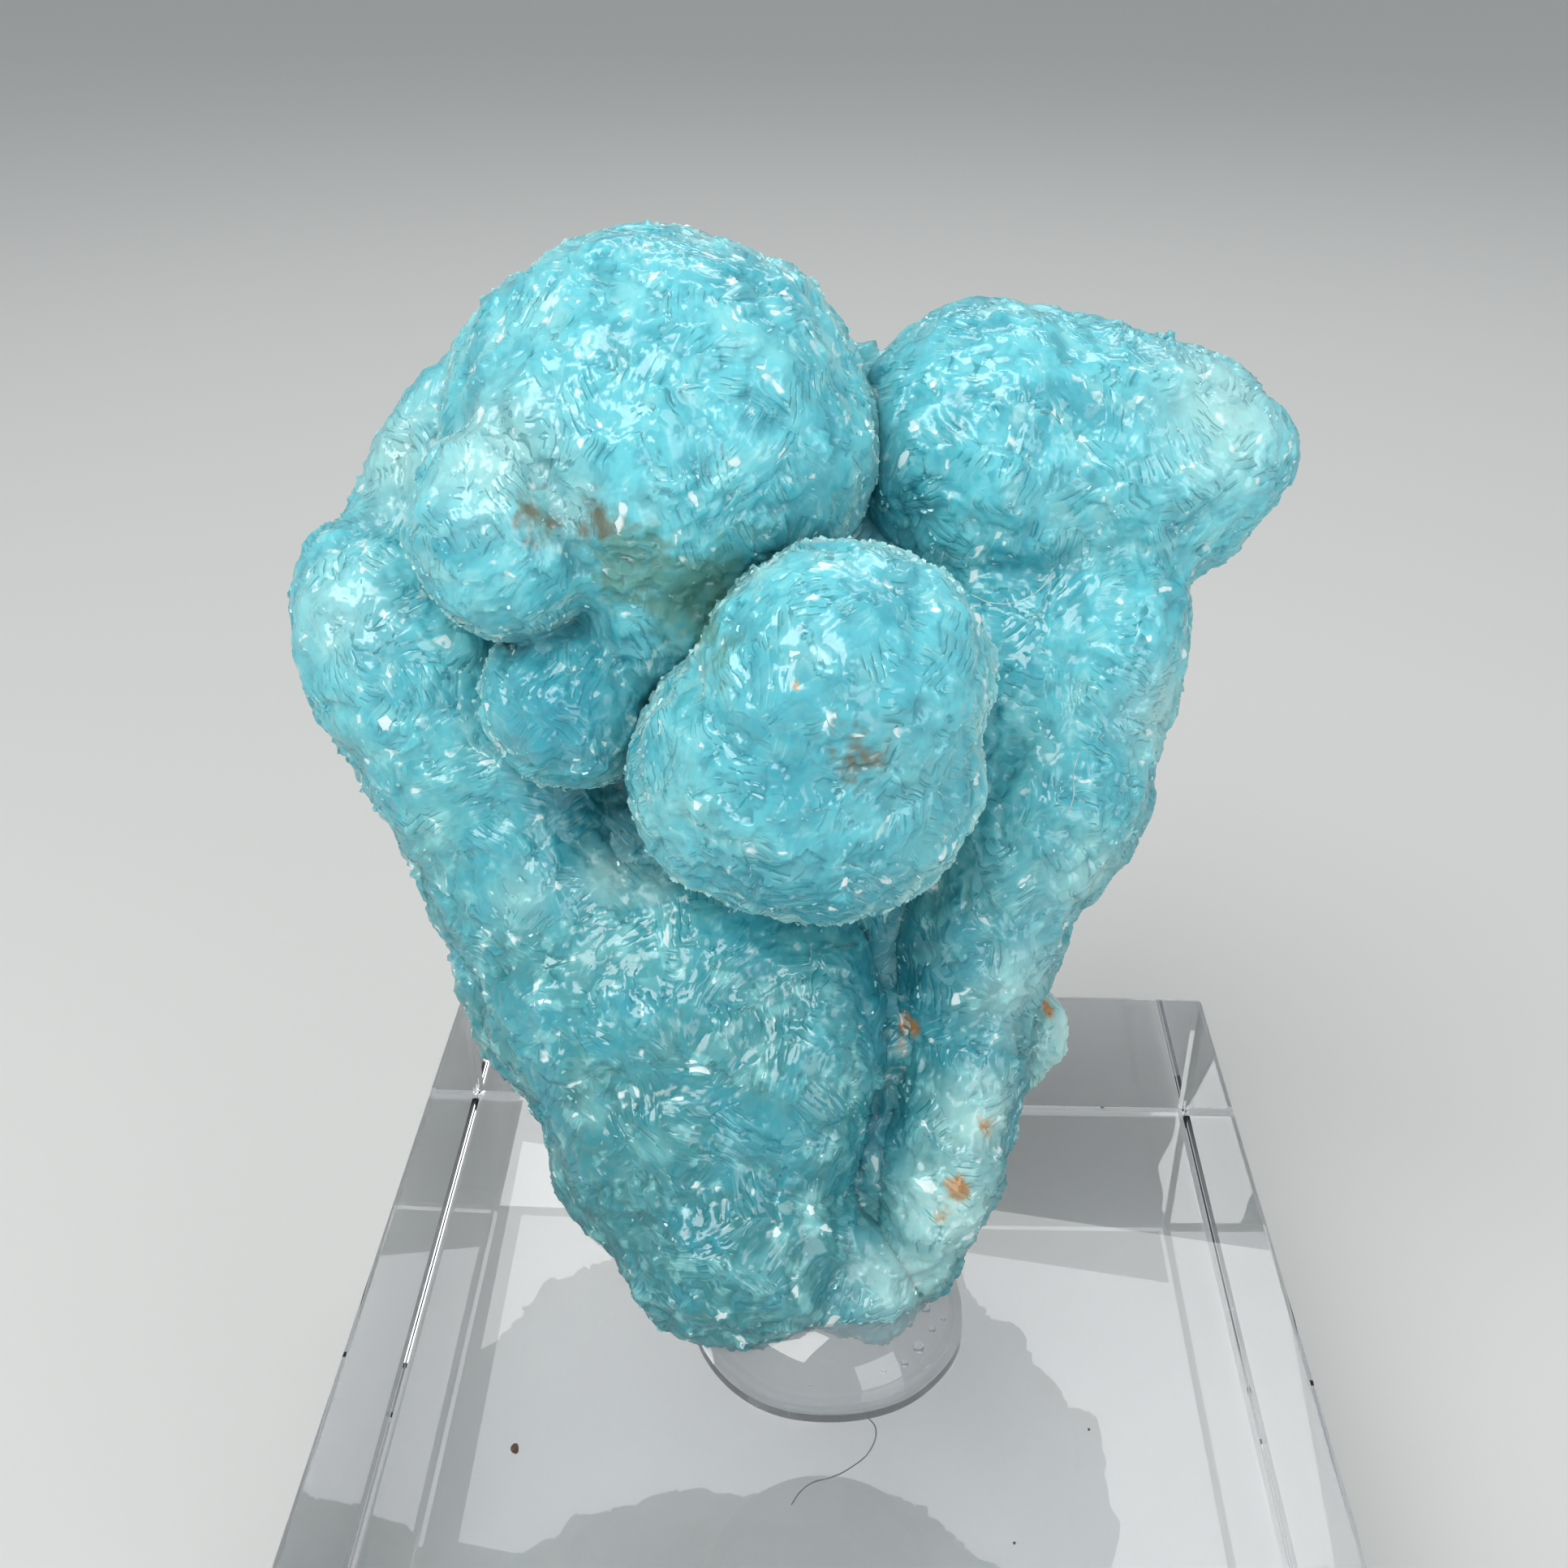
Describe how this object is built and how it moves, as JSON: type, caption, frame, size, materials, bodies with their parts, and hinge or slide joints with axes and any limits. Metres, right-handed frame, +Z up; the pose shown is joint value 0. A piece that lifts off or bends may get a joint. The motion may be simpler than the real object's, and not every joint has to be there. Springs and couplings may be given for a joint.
{
  "type": "hemimorphite specimen on a clear display block",
  "caption": "Botryoidal cyan-blue hemimorphite specimen leaning on a dab of clear gel on a clear square acrylic display block.",
  "frame": {"origin": "centre of the display block's underside", "axes": "+Z up, +Y away from the viewer, +X to the viewer's right"},
  "size_m": [0.0522, 0.05, 0.0727],
  "materials": {
    "hemimorphite": "translucent cyan-blue botryoidal crust with a finely crystalline glassy druse, teal in the crevices, greenish white at the thin edges, cream and rust matrix at the back",
    "clear_gel": "clear soft mounting gel with a smooth wet gloss and small bubbles",
    "clear_acrylic": "clear cast acrylic, polished on every face, with fine polished edges"
  },
  "bodies": {
    "root": {"hemimorphite": "hemimorphite", "gel_dab": "clear_gel", "acrylic_block": "clear_acrylic"}
  },
  "joints": []
}
